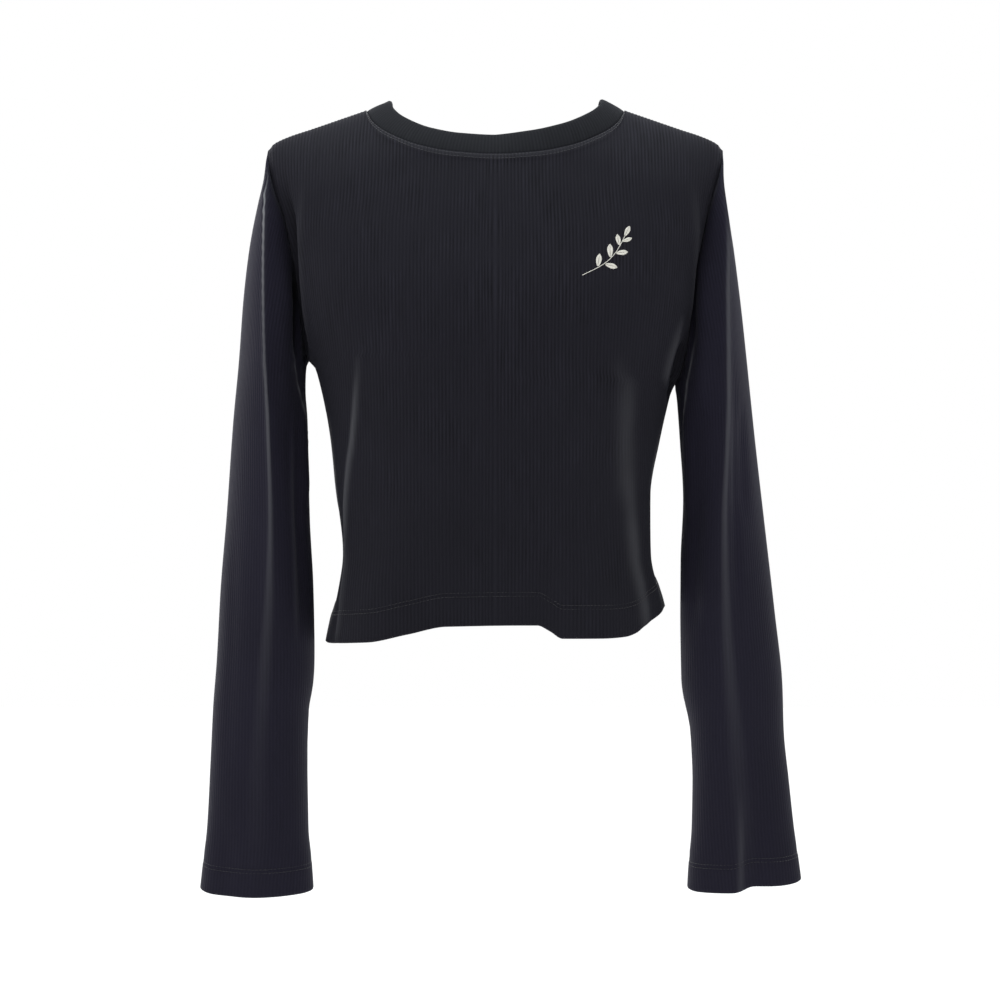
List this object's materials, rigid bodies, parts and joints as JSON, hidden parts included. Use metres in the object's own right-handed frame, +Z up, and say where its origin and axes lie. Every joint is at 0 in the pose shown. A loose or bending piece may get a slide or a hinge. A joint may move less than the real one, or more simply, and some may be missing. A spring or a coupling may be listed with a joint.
{
  "type": "long-sleeved t-shirt",
  "caption": "Cropped long-sleeved t-shirt in near-black rib knit with a round neckband, filled out as if worn, with its sleeves hanging empty.",
  "frame": {"origin": "midway between the two points where a shoulder seam meets the neck seam, which is where the wearer's shoulders hold the garment", "axes": "+Z up, the wearer faces -Y, +X is the wearer's left"},
  "size_m": [0.4872, 0.207, 0.6445],
  "materials": {
    "body_rib": "matte fine rib knit cotton, near black",
    "sleeve_rib": "matte fine rib knit cotton, near black with a slight violet cast",
    "neckband_rib": "matte doubled rib knit band, near black",
    "embroidery_thread": "satin off-white embroidery thread"
  },
  "bodies": {
    "root": {"front_panel": "body_rib", "back_panel": "body_rib", "right_sleeve": "sleeve_rib", "left_sleeve": "sleeve_rib", "neckband": "neckband_rib"}
  },
  "joints": []
}
